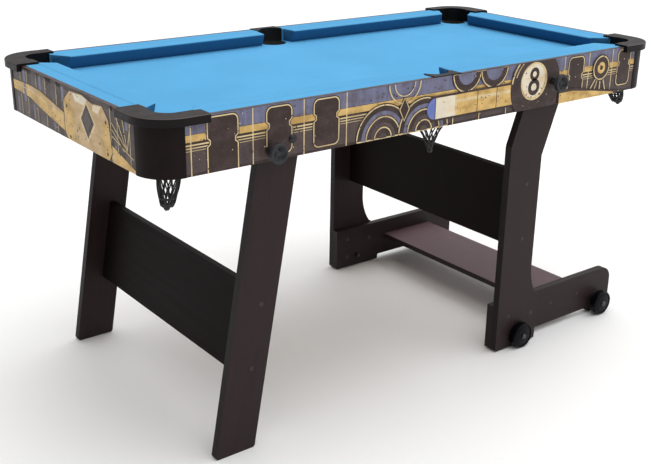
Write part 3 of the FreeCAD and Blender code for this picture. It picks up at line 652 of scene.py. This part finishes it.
def make_net(name, x, y, node, shape, mats):
    """A cord net: crossing spirals from a ring down to a knotted tip, leaning a little as it hangs."""
    wide, deep_mm, lean_x, lean_y, hold, swell, point, strands = shape
    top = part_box(node)[1].z
    deep = deep_mm * MM
    bm = bmesh.new()

    def reach(share, way):
        """The bag's half width along x (way 0) or y (way 1), from its mouth at 0 to its tip at 1."""
        settled = min(1.0, share / 0.3)
        half = POCKET + (wide[way] * MM - POCKET) * settled
        fall = max(0.0, share - hold) / (1 - hold)
        return half * max(0.0, 1 - fall ** swell) ** point + 2.5 * MM * share

    def hang(share, angle, inset):
        """A point of the bag at a share of its depth."""
        drift = share ** 1.3
        return (
            x + lean_x * MM * drift + (reach(share, 0) - inset) * math.cos(angle),
            y + lean_y * MM * drift + (reach(share, 1) - inset) * math.sin(angle),
            top - 3 * MM - share * (deep - 5 * MM),
        )

    levels = 40
    for hand in (-1, 1):
        for k in range(strands):
            path = []
            for i in range(levels + 1):
                share = i / levels * 0.95
                angle = 2 * math.pi * k / strands + hand * (share * NET_TWIST + 0.15)
                wobble = 1.4 * MM * math.sin(5 * share + 2.1 * k + hand)
                path.append(hang(share, angle, 1.6 * MM - hand * 0.45 * MM - wobble))
            tube(bm, path, STRAND, 7)
    turns = [2 * math.pi * i / 48 for i in range(48)]
    for radius, z in ((POCKET - 1.0 * MM, 2.2), (POCKET - 1.8 * MM, 5.5)):
        circle = [(x + radius * math.cos(a), y + radius * math.sin(a), top - z * MM) for a in turns]
        tube(bm, circle, 1.7 * MM, 8, True)
    for share in (0.82, 0.9):
        tube(bm, [hang(share, a, 1.0 * MM) for a in turns], HOOP, 8, True)
    tip = (x + lean_x * MM, y + lean_y * MM, top - deep + 1.0 * MM)
    knot = [(0, 0), (4.5, 1.5), (6.6, 5), (6.2, 9.5), (4.0, 13), (2.0, 15), (0, 15.5)]
    lathe(bm, [(r * MM, z * MM) for r, z in knot], tip, Vector((0, 0, 1)), 16,
          lambda a, r, z: 0.6 * MM * math.sin(3 * a))
    ring = [(4, -0.2), (4, -2.3), (-1.1, -2.5), (-1.1, 10.0), (-0.3, 10.0), (-0.3, -0.2), (4, -0.2)]
    lathe(bm, [(POCKET + r * MM, z * MM) for r, z in ring], (x, y, top), Vector((0, 0, 1)))
    piece = finish_piece(name, bm, mats["net"], TOP, "net_cord", node)
    if node == "nets_right":
        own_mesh(piece)


# Half widths along x and y, depth, and lean along x and y, in millimetres. Then the share of the depth that
# stays wide, two powers that shape the taper below it, and the strands each way.
NET_SHAPES = {
    "front_left": ((27, 27), 153, -20, -13, 0, 2.2, 0.5, 12),
    "back_left": ((28, 29), 108, -18, 12, 0, 2.2, 0.5, 11),
    "front_right": ((28, 29), 128, 24, -17, 0, 2.0, 0.5, 12),
    "back_right": ((28, 29), 134, 20, 13, 0, 2.2, 0.5, 11),
    "front_middle": ((41, 39), 150, 4, 0, 0.42, 1.0, 1.25, 9),
    "back_middle": ((39, 38), 146, -6, 0, 0.42, 1.0, 1.25, 9),
}


def make_nets(mats):
    """A net under each pocket."""
    for side, sy in SIDES.items():
        for end, sx in ENDS.items():
            name = side + "_" + end
            x, y = sx * CORNER_POCKET.x, sy * CORNER_POCKET.y
            make_net("net_" + name, x, y, "nets_" + end, NET_SHAPES[name], mats)
        name = side + "_middle"
        make_net("net_" + name, 0.0, sy * MIDDLE_POCKET.y, "nets_middle", NET_SHAPES[name], mats)


# ---------------------------------------------------------------- printed aprons

def bar(u0, u1, v0, v1):
    """An upright rectangle, as a list of one shape."""
    return [[(u0, v0), (u1, v0), (u1, v1), (u0, v1)]]


def arc_points(u, v, radius, start, stop, steps=24):
    """Points along an arc between two angles in degrees."""
    turns = [math.radians(start + (stop - start) * i / steps) for i in range(steps + 1)]
    return [(u + radius * math.cos(a), v + radius * math.sin(a)) for a in turns]


def disc(u, v, radius):
    """A disc, as a list of one shape."""
    return [arc_points(u, v, radius, 0, 360, 56)[:-1]]


def stroke(points, width, closed=False):
    """A line of some width along points, as one quad a stretch."""
    count = len(points)
    sides = []
    for i, (u, v) in enumerate(points):
        before = points[i - 1] if (closed or i) else points[i]
        after = points[(i + 1) % count] if (closed or i < count - 1) else points[i]
        du, dv = after[0] - before[0], after[1] - before[1]
        size = math.hypot(du, dv) or 1.0
        nu, nv = -dv / size * width / 2, du / size * width / 2
        sides.append(((u + nu, v + nv), (u - nu, v - nv)))
    quads = []
    for i in range(count if closed else count - 1):
        one, two = sides[i], sides[(i + 1) % count]
        quads.append([one[0], one[1], two[1], two[0]])
    return quads


def ring_band(u, v, inner, outer, start=0, stop=360):
    """A band between two radii."""
    return stroke(arc_points(u, v, (inner + outer) / 2, start, stop, 48), outer - inner)


def tablet(u, wide, low, high, waist):
    """A tall rounded plaque with a small notch on each side at its waist."""
    half, r = wide / 2, 13
    middle = low + 0.62 * (high - low)
    notch = ((half, middle - 9), (half - waist, middle - 4), (half - waist, middle + 4), (half, middle + 9))
    points = arc_points(u + half - r, low + r, r, -90, 0, 6)
    points += [(u + reach, v) for reach, v in notch]
    points += arc_points(u + half - r, high - r, r, 0, 90, 6)
    points += arc_points(u - half + r, high - r, r, 90, 180, 6)
    points += [(u - reach, v) for reach, v in reversed(notch)]
    points += arc_points(u - half + r, low + r, r, 180, 270, 6)
    return points


def clip(points, low_u, high_u, low_v, high_v):
    """A polygon cut to a rectangle."""
    sides = ((0, low_u, True), (0, high_u, False), (1, low_v, True), (1, high_v, False))
    for axis, limit, keep_more in sides:
        kept = []
        for one, two in zip(points, points[1:] + points[:1]):
            one_in = (one[axis] >= limit) == keep_more or one[axis] == limit
            two_in = (two[axis] >= limit) == keep_more or two[axis] == limit
            if one_in:
                kept.append(one)
            if one_in != two_in:
                share = (limit - one[axis]) / (two[axis] - one[axis])
                kept.append((one[0] + share * (two[0] - one[0]), one[1] + share * (two[1] - one[1])))
        points = kept
        if len(points) < 3:
            return []
    return points


# A layer of ink, how proud of the board the first one lies, the artwork's height in millimetres, and its inks.
PRINT_LAYER = 0.05 * MM
PRINT_PROUD = 0.06 * MM
PRINT_TALL = 118
INKS = ["brown", "dusk", "indigo", "gold", "cream", "tan", "ivory", "chalk"]


class Print:
    """Shapes in layers on an apron's face, in millimetres from its middle and its lower edge."""

    def __init__(self, mats, names, half, tall):
        self.bm = bmesh.new()
        self.mats = [mats[name] for name in names]
        self.names = names
        self.limits = (-half, half, 0.6, tall - 0.6)
        self.layer = 0

    def add(self, name, shapes, raise_layer=True):
        """Shapes in an ink, on a new layer or on the last one."""
        self.layer += 1 if raise_layer else 0
        for points in shapes:
            points = clip(points, *self.limits)
            if points:
                proud = -self.layer * PRINT_LAYER
                verts = [self.bm.verts.new((u * MM, proud, v * MM)) for u, v in points]
                self.bm.faces.new(verts).material_index = self.names.index(name)

    def plaque(self, points, line=2.6):
        """A dark shape with a thin pale outline and a dark shadow line round it."""
        self.add("brown", stroke(points, 2.6 * line, True))
        self.add("brown", [points])
        self.add("cream", stroke(points, line, True))

    def place(self, name, face, turn):
        """Put the print just proud of a face whose outward way is -Y turned by an angle."""
        matrix = Matrix.Rotation(turn, 4, "Z") @ Matrix.Translation((0, -face - PRINT_PROUD, APRON_LOW.z))
        self.bm.transform(matrix)
        finish_piece(name, self.bm, self.mats, TOP, "apron_print", smooth=False)


def backdrop(art, half):
    """Level bands that run the whole length: indigo above, gold and cream stripes, dusk brown below."""
    bands = (
        ("dusk", ((0, PRINT_TALL),), True),
        ("indigo", ((84, PRINT_TALL),), True),
        ("gold", ((69, 83),), True),
        ("cream", ((61, 64), (55.5, 57.5), (50.5, 51.5)), False),
        ("brown", ((0, 6), (64.4, 68.6), (58, 60.6)), False),
    )
    for name, heights, raise_layer in bands:
        art.add(name, [quad for low, high in heights for quad in bar(-half, half, low, high)], raise_layer)


def spatter(art, name, count, half, seed, size):
    """Small seeded specks of ink."""
    rng = random.Random(seed)
    specks = []
    for _ in range(count):
        u, v = rng.uniform(-half, half), rng.uniform(4, 114)
        r = size * rng.uniform(0.3, 1.0)
        turn = rng.uniform(0, 60)
        speck = []
        for a in range(0, 360, 60):
            angle = math.radians(a + turn)
            du = r * rng.uniform(0.6, 1.1) * math.cos(angle)
            dv = r * rng.uniform(0.6, 1.1) * math.sin(angle)
            speck.append((u + du, v + dv))
        specks.append(speck)
    art.add(name, specks)


def long_print(mats):
    """A generic billiard print: plaques, arches, a cue tip and a numbered ball over striped bands."""
    half = APRON_HALF / MM - 0.3
    art = Print(mats, INKS, half, APRON_TALL / MM)
    backdrop(art, half)
    posts = (-672, -530, -404, -292, 404, 498, 592)
    art.add("cream", uprights(posts, PRINT_TALL + 2))
    for u, wide, low in ((-600, 70, -20), (-466, 62, 12), (-346, 66, 10), (448, 58, -20), (640, 52, 18)):
        art.plaque(tablet(u, wide, low, 112, 6))
    arches_print(art)
    art.add("cream", uprights((20, 105, 196), 60))
    cue_print(art)
    ball_print(art)
    sun_print(art, 545, 74)
    # The cue's far end shows beyond the ball and tapers off along the lower edge.
    art.add("brown", [[(384, 34), (440, 34), (640, 4), (640, -6), (384, -6)]])
    art.add("gold", [[(388, 27), (440, 27), (520, 17), (604, 4), (604, -6), (388, -6)]])
    spatter(art, "brown", 240, half, 7, 2.6)
    spatter(art, "ivory", 60, half, 8, 1.6)
    return art


def uprights(places, top):
    """Thin upright lines up to a height."""
    return [quad for u in places for quad in stroke([(u, -2), (u, top)], 2.6)]


def arches_print(art):
    """Two nested arches with a diamond between them, and hanging arches beside them."""
    widest, left, right = 74, -190, -70
    for u in (left, right):
        for outer in (widest, 48, 24):
            art.plaque(arc_points(u, 2, outer, 0, 180, 32), 3.0)
            art.add("indigo" if outer == widest else "dusk", [arc_points(u, 2, outer - 13, 0, 180, 32)])
    u = (left + right) / 2
    large, small = (arc_points(u, PRINT_TALL, radius, 180, 360) for radius in (46, 30))
    art.add("cream", stroke(large, 3.0) + stroke(small, 2.4))
    art.plaque([(u, 84), (u + 14, 58), (u, 32), (u - 14, 58)], 2.8)
    for u in (60, 150):
        art.plaque(arc_points(u, PRINT_TALL, 44, 180, 360, 30), 3.0)
        art.add("indigo", [arc_points(u, PRINT_TALL, 28, 180, 360, 30)])


def sun_print(art, u, v):
    """A ringed disc over four rays that fan out below it."""
    rays = [stroke([(u, v - 2), (u + reach, -4)], 3.0) for reach in (-58, -30, 0, 30)]
    art.add("cream", [quad for ray in rays for quad in ray])
    art.plaque(arc_points(u, v, 30, 0, 360, 40)[:-1], 3.2)
    art.add("gold", disc(u, v, 15))
    art.add("brown", disc(u, v, 6))


def cue_print(art):
    """A cue's end lying level: blue chalked tip, ivory ferrule and golden shaft."""
    art.add("brown", bar(-52, 236, 17, 76))
    art.add("gold", bar(30, 230, 22, 71))
    art.add("cream", bar(30, 230, 52, 60))
    art.add("ivory", bar(-36, 30, 22, 71), False)
    art.add("chalk", [arc_points(-38, 46.5, 24.5, 90, 270, 20)], False)
    art.add("cream", bar(24, 30, 22, 71))
    art.add("brown", [quad for u in (96, 160) for quad in bar(u, u + 2.2, 22, 71)], False)


def ball_print(art):
    """A dark numbered ball, drawn with two rings on a pale disc."""
    u, v = 290, 70
    art.add("brown", disc(u + 6, v - 10, 88))
    art.add("cream", stroke(arc_points(u + 6, v - 10, 84, 112, 172), 4.5))
    art.add("cream", stroke(arc_points(u + 6, v - 10, 74, 122, 160), 2.5), False)
    art.add("cream", disc(u, v, 47))
    art.add("ivory", disc(u - 3, v + 2, 41))
    art.add("brown", ring_band(u, v + 17.5, 7, 16.5) + ring_band(u, v - 14.5, 9.5, 20.5))


def end_print(mats, seed):
    """The ends' shorter print: dark panels, a slanting cue, a plaque with a diamond and a fan of lines."""
    half = END_HALF / MM - 0.3
    art = Print(mats, INKS, half, APRON_TALL / MM)
    art.add("dusk", bar(-half, half, 0, PRINT_TALL))
    panels_print(art, half)
    slanting_cue_print(art)
    plaque_print(art)
    fan_print(art)
    spatter(art, "brown", 110, half, seed, 2.6)
    spatter(art, "ivory", 40, half, seed + 1, 1.6)
    return art


def panels_print(art, half):
    """Dark upright panels edged in cream, with indigo strips high and low between them."""
    left = ((-308, 20), (-262, 14), (-222, 26), (-168, 12), (-118, 34), (-58, 26))
    panels = left + ((206, 12), (236, 30), (288, 20))
    dark = [quad for u, wide in panels for quad in bar(u, u + wide, 0, PRINT_TALL)]
    high = [quad for u, wide in panels[1::2] for quad in bar(u + wide + 3, u + wide + 15, 82, 112)]
    low = [quad for u, wide in panels[::2] for quad in bar(u + wide + 2, u + wide + 10, 6, 40)]
    art.add("brown", dark + bar(-half, half, 108, PRINT_TALL))
    art.add("indigo", high)
    art.add("indigo", low, False)
    art.add("cream", [quad for u, _ in panels for quad in bar(u - 2, u, 4, 112)], False)


def slanting_cue_print(art):
    """A golden cue that sags towards the plaque, with two tan bands, a blue ring and a cream highlight."""
    upper = [(-308, 78), (-210, 81), (-150, 78), (-90, 67), (-16, 54)]
    lower = [(-16, 14), (-90, 27), (-150, 38), (-210, 52), (-308, 57)]
    shaft = upper + lower
    bands = [
        [(-208, 80), (-158, 78), (-158, 62), (-208, 68)],
        [(-96, 66), (-52, 60), (-52, 46), (-96, 52)],
    ]
    art.add("brown", stroke(shaft, 7, True))
    art.add("gold", [shaft])
    art.add("tan", bands)
    art.add("indigo", bar(-244, -232, 38, 80), False)
    art.add("cream", stroke([(-300, 68), (-200, 70), (-100, 56), (-20, 44)], 2.2))


def plaque_print(art):
    """A chamfered tan plaque with shaded ends, pale glints, a diamond and studs."""
    upper = [(-20, 84), (14, 110), (76, 113), (120, 104), (170, 108), (196, 84)]
    lower = [(206, 20), (186, -8), (4, -8)]
    plaque = [(-20, 14)] + upper + lower
    glints = [
        [(30, 108), (76, 112), (100, 107), (84, 92), (40, 94)],
        [(128, 102), (164, 105), (150, 88), (124, 90)],
    ]
    studs = ((-4, 74, 4), (6, 8, 4), (184, 78, 4), (186, 12, 4), (44, 30, 2.6), (150, 26, 2.6))
    art.add("brown", stroke(plaque, 7, True))
    art.add("tan", [plaque])
    art.add("gold", [[(-20, 14), (-20, 84), (2, 101), (26, 84), (34, 46), (22, -8), (4, -8)]])
    art.add("gold", [[(196, 84), (206, 20), (186, -8), (156, -8), (170, 40), (166, 70)]], False)
    art.add("ivory", glints, False)
    art.add("cream", [[(96, 106), (136, 62), (96, 15), (58, 62)]])
    art.add("brown", [[(96, 98), (128, 62), (96, 24), (66, 62)]])
    art.add("dusk", [[(96, 84), (114, 62), (96, 40), (80, 62)]])
    art.add("brown", [quad for u, v, r in studs for quad in disc(u, v, r)], False)


def fan_print(art):
    """A golden wedge, and a fan of straight cream lines above it."""
    art.add("gold", [[(208, 36), (306, 8), (306, -6), (232, -6), (208, 2)]], False)
    lines = [stroke([(274, 38), (top, 104)], 2.6) for top in (228, 258, 294)]
    art.add("cream", [quad for line in lines for quad in line])
    crossing = stroke([(210, 84), (266, 46)], 3.0)
    crossing += stroke([(210, 70), (262, 36)], 2.2)
    crossing += stroke([(210, 56), (300, 28)], 2.2)
    art.add("cream", crossing)


def make_prints(mats):
    """The same print on both long sides, and one on each end whose specks differ."""
    long_print(mats).place("apron_print_front", APRON_FACE, 0.0)
    long_print(mats).place("apron_print_back", APRON_FACE, math.pi)
    end_print(mats, 21).place("apron_print_left", END_FACE, -math.pi / 2)
    end_print(mats, 31).place("apron_print_right", END_FACE, math.pi / 2)


# ---------------------------------------------------------------- knobs and wheels

DISH_RADIUS = 9.8 * MM
DISH_WIDE = 4.6 * MM
NECK_LONG = 16 * MM


def knob_profile(rim, deep):
    """A knob's (radius, along) outline, from its rim's radius and its depth in millimetres."""
    neck = [(4.2, 0.1), (8.8, 0.1), (9.0, 0.8), (8.6, 2.5), (8.5, 4.2), (9.2, 6.5), (11.5, 9), (16, 10.8)]
    head = [(1.8, 11), (0.4, 9.4), (0, 7.4), (0, 3.6), (0.4, 1.7), (1.4, 0.4), (2.8, 0), (5.6, 0.1)]
    dish = [(6.8, 0.8), (8.2, 3.4), (9.6, 5.2)]
    hub = [(DISH_RADIUS / MM, 6.0), (7.4, 5.6), (5.8, 4.4), (4.2, 3.8), (2, 3.6), (0, 3.6)]
    profile = neck + [(rim - inset, deep - drop) for inset, drop in head + dish]
    profile += [(radius, deep - drop) for radius, drop in hub]
    return [(radius * MM, along * MM) for radius, along in profile]


def knob_lobes(angle, radius, along):
    """Three shallow lobes in the dish, between the hub and the rim."""
    inside = max(0.0, 1 - abs(radius - DISH_RADIUS) / DISH_WIDE) if along > NECK_LONG else 0.0
    return 2.2 * MM * inside * math.cos(3 * angle)


def make_knobs(mats):
    """Round plunger knobs with a raised rim and a three-lobed dish."""
    for side, sy in SIDES.items():
        for end in ENDS:
            node = "lock_knob_" + side + "_" + end
            low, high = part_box(node)
            centre = Vector(((low.x + high.x) / 2, 0, (low.z + high.z) / 2))
            start, stop = sorted((abs(low.y), abs(high.y)))
            centre.y = sy * start
            profile = knob_profile((high.z - low.z) / 2 / MM, (stop - start) / MM)
            bm = bmesh.new()
            lathe(bm, profile, centre, Vector((0, sy, 0)), 96, knob_lobes)
            body = "lock_" + side + "_" + end
            finish_piece(node + "_moulding", bm, mats["knob"], body, "knob_plastic", node)


def wheel_profile(rim, wide):
    """A wheel's (radius, along) outline, from its radius and its width in millimetres."""
    bore = 5.1
    face = wide - 1
    back = [(7.6, 3), (6.8, 1), (6, 0.3), (2.5, 0.3), (1, 1), (0.2, 2.4), (0, 5), (0, 10)]
    tread = [(0, 5), (0.2, 2.8), (1, 1.2), (2.4, 0.3), (3.8, 0.2)]
    groove = [(4.6, 0.8), (5.2, 2.2), (6, 2.6), (7, 2.2)]
    dome = [(8, 1.4), (13, 0.5), (18, -0.2)]
    profile = [(bore, 0.1), (12, 0.1), (12.8, 1), (13.2, 3)] + [(rim - inset, along) for inset, along in back]
    profile += [(rim - inset, face - drop) for inset, drop in tread + groove + dome]
    profile += [(12, wide - 0.3), (9.6, wide - 0.1), (bore, wide - 0.1), (bore, 0.1)]
    return [(radius * MM, along * MM) for radius, along in profile]


def make_wheels(mats):
    """Black wheels with a rounded tread, a groove and a domed hub."""
    for kind in ("heel", "toe"):
        for side, sy in SIDES.items():
            node = "wheel_" + kind + "_" + side
            low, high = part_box(node)
            inner = min(abs(low.y), abs(high.y))
            centre = Vector(((low.x + high.x) / 2, sy * inner, (low.z + high.z) / 2))
            profile = wheel_profile((high.z - low.z) / 2 / MM, abs(high.y - low.y) / MM)
            bm = bmesh.new()
            lathe(bm, profile, centre, Vector((0, sy, 0)), 96)
            finish_piece(node + "_moulding", bm, mats["wheel"], node + "_spin", "wheel_plastic", node)


# ---------------------------------------------------------------- CAD nodes kept as they are

def dress_nodes(mats):
    """Materials for every CAD node that keeps its shape."""
    by_prefix = {
        "apron_": "brown", "corner_skirts": "skirt", "corner_cap": "cap", "middle_pocket": "liner",
        "bed_board": "board", "cross_battens": "pine", "batten_screws": "steel",
        "fold_leg": "fold_leg", "fold_crossbar": "crossbar", "fold_frame_screws": "dull_steel",
        "base_upright": "leg", "base_foot": "foot", "base_crossbar": "crossbar", "base_shelf": "shelf",
        "base_screws": "dull_steel", "wheel_axles": "axle_steel", "axle_collars": "housing",
        "pivot_": "dark_steel", "lock_housings": "housing", "lock_pin": "steel", "lock_springs": "steel",
    }
    for node in NODES:
        for prefix, key in by_prefix.items():
            if node.startswith(prefix):
                dress(node, mats[key])
        if node.startswith(("corner_cap", "middle_pocket")):
            round_edges(node, 0.9 * MM, 2, 50)


# ---------------------------------------------------------------- stage

def make_lamp(scene):
    """A broad, weak lamp over the table, which adds to the sky's light."""
    light = bpy.data.lights.new("overhead", "AREA")
    light.shape = "RECTANGLE"
    light.size, light.size_y = 2.6, 2.0
    light.energy = 6
    lamp = bpy.data.objects.new("overhead", light)
    lamp.location = (0.4, -0.4, 3.6)
    aim = Vector((0, 0, 0.6)) - lamp.location
    lamp.rotation_euler = aim.to_track_quat("-Z", "Y").to_euler()
    scene.collection.objects.link(lamp)


def soft_sky(low, high, lean):
    """A plain grey sky, brighter overhead than at the horizon, and leaning to one side along X."""
    world = bpy.data.worlds.new("studio")
    world.use_nodes = True
    nodes, links = world.node_tree.nodes, world.node_tree.links

    def reckon(kind, *terms):
        """One math node, fed with numbers and with other nodes' outputs."""
        node = nodes.new("ShaderNodeMath")
        node.operation = kind
        for socket, term in zip(node.inputs, terms):
            if isinstance(term, bpy.types.NodeSocket):
                links.new(term, socket)
            else:
                socket.default_value = term
        return node.outputs[0]

    coords = nodes.new("ShaderNodeTexCoord")
    split = nodes.new("ShaderNodeSeparateXYZ")
    links.new(coords.outputs["Generated"], split.inputs[0])
    square = reckon("POWER", split.outputs["Z"], 2.0)
    rise = reckon("MULTIPLY_ADD", square, high - low, low)
    side = reckon("MULTIPLY_ADD", split.outputs["X"], lean, 1.0)
    links.new(reckon("MULTIPLY", rise, side), nodes["Background"].inputs["Strength"])
    nodes["Background"].inputs["Color"].default_value = (1.0, 1.0, 1.0, 1.0)
    return world


def make_stage():
    """A pale floor, soft lights and the camera."""
    scene = bpy.context.scene
    floor = Surface("pale_floor", rough=0.7)
    floor.colour(floor.mix(floor.noise(3, 2), (0.93, 0.93, 0.93), (0.95, 0.95, 0.95)))
    bm = bmesh.new()
    bmesh.ops.create_grid(bm, x_segments=8, y_segments=8, size=14)
    mesh = bpy.data.meshes.new("floor")
    bm.to_mesh(mesh)
    bm.free()
    mesh.materials.append(floor.mat)
    ground = bpy.data.objects.new("floor", mesh)
    ground.location.z = -0.0005
    scene.collection.objects.link(ground)
    scene.world = soft_sky(low=0.44, high=2.05, lean=0.75)
    scene.view_settings.view_transform = "Standard"
    make_lamp(scene)
    make_camera(scene)


def make_camera(scene):
    """The camera, looking along +Y before it is turned left, tipped down and rolled a little."""
    camera = bpy.data.cameras.new("camera")
    camera.sensor_width = 36.0
    camera.lens = 56.19
    eye = bpy.data.objects.new("camera", camera)
    stand = Matrix.Translation((-1.60571, -2.02279, 1.27213))
    yaw = Matrix.Rotation(-0.6542452, 4, "Z")
    pitch = Matrix.Rotation(-0.3647219, 4, "X")
    roll = Matrix.Rotation(-0.0143945, 4, "Y")
    level = Matrix.Rotation(math.pi / 2, 4, "X")
    eye.matrix_world = stand @ (yaw @ pitch @ roll) @ level
    scene.collection.objects.link(eye)
    scene.camera = eye


def main():
    mats = make_materials()
    make_stage()
    dress_nodes(mats)
    make_bed(mats)
    make_rails(mats)
    make_nets(mats)
    make_prints(mats)
    make_knobs(mats)
    make_wheels(mats)


main()
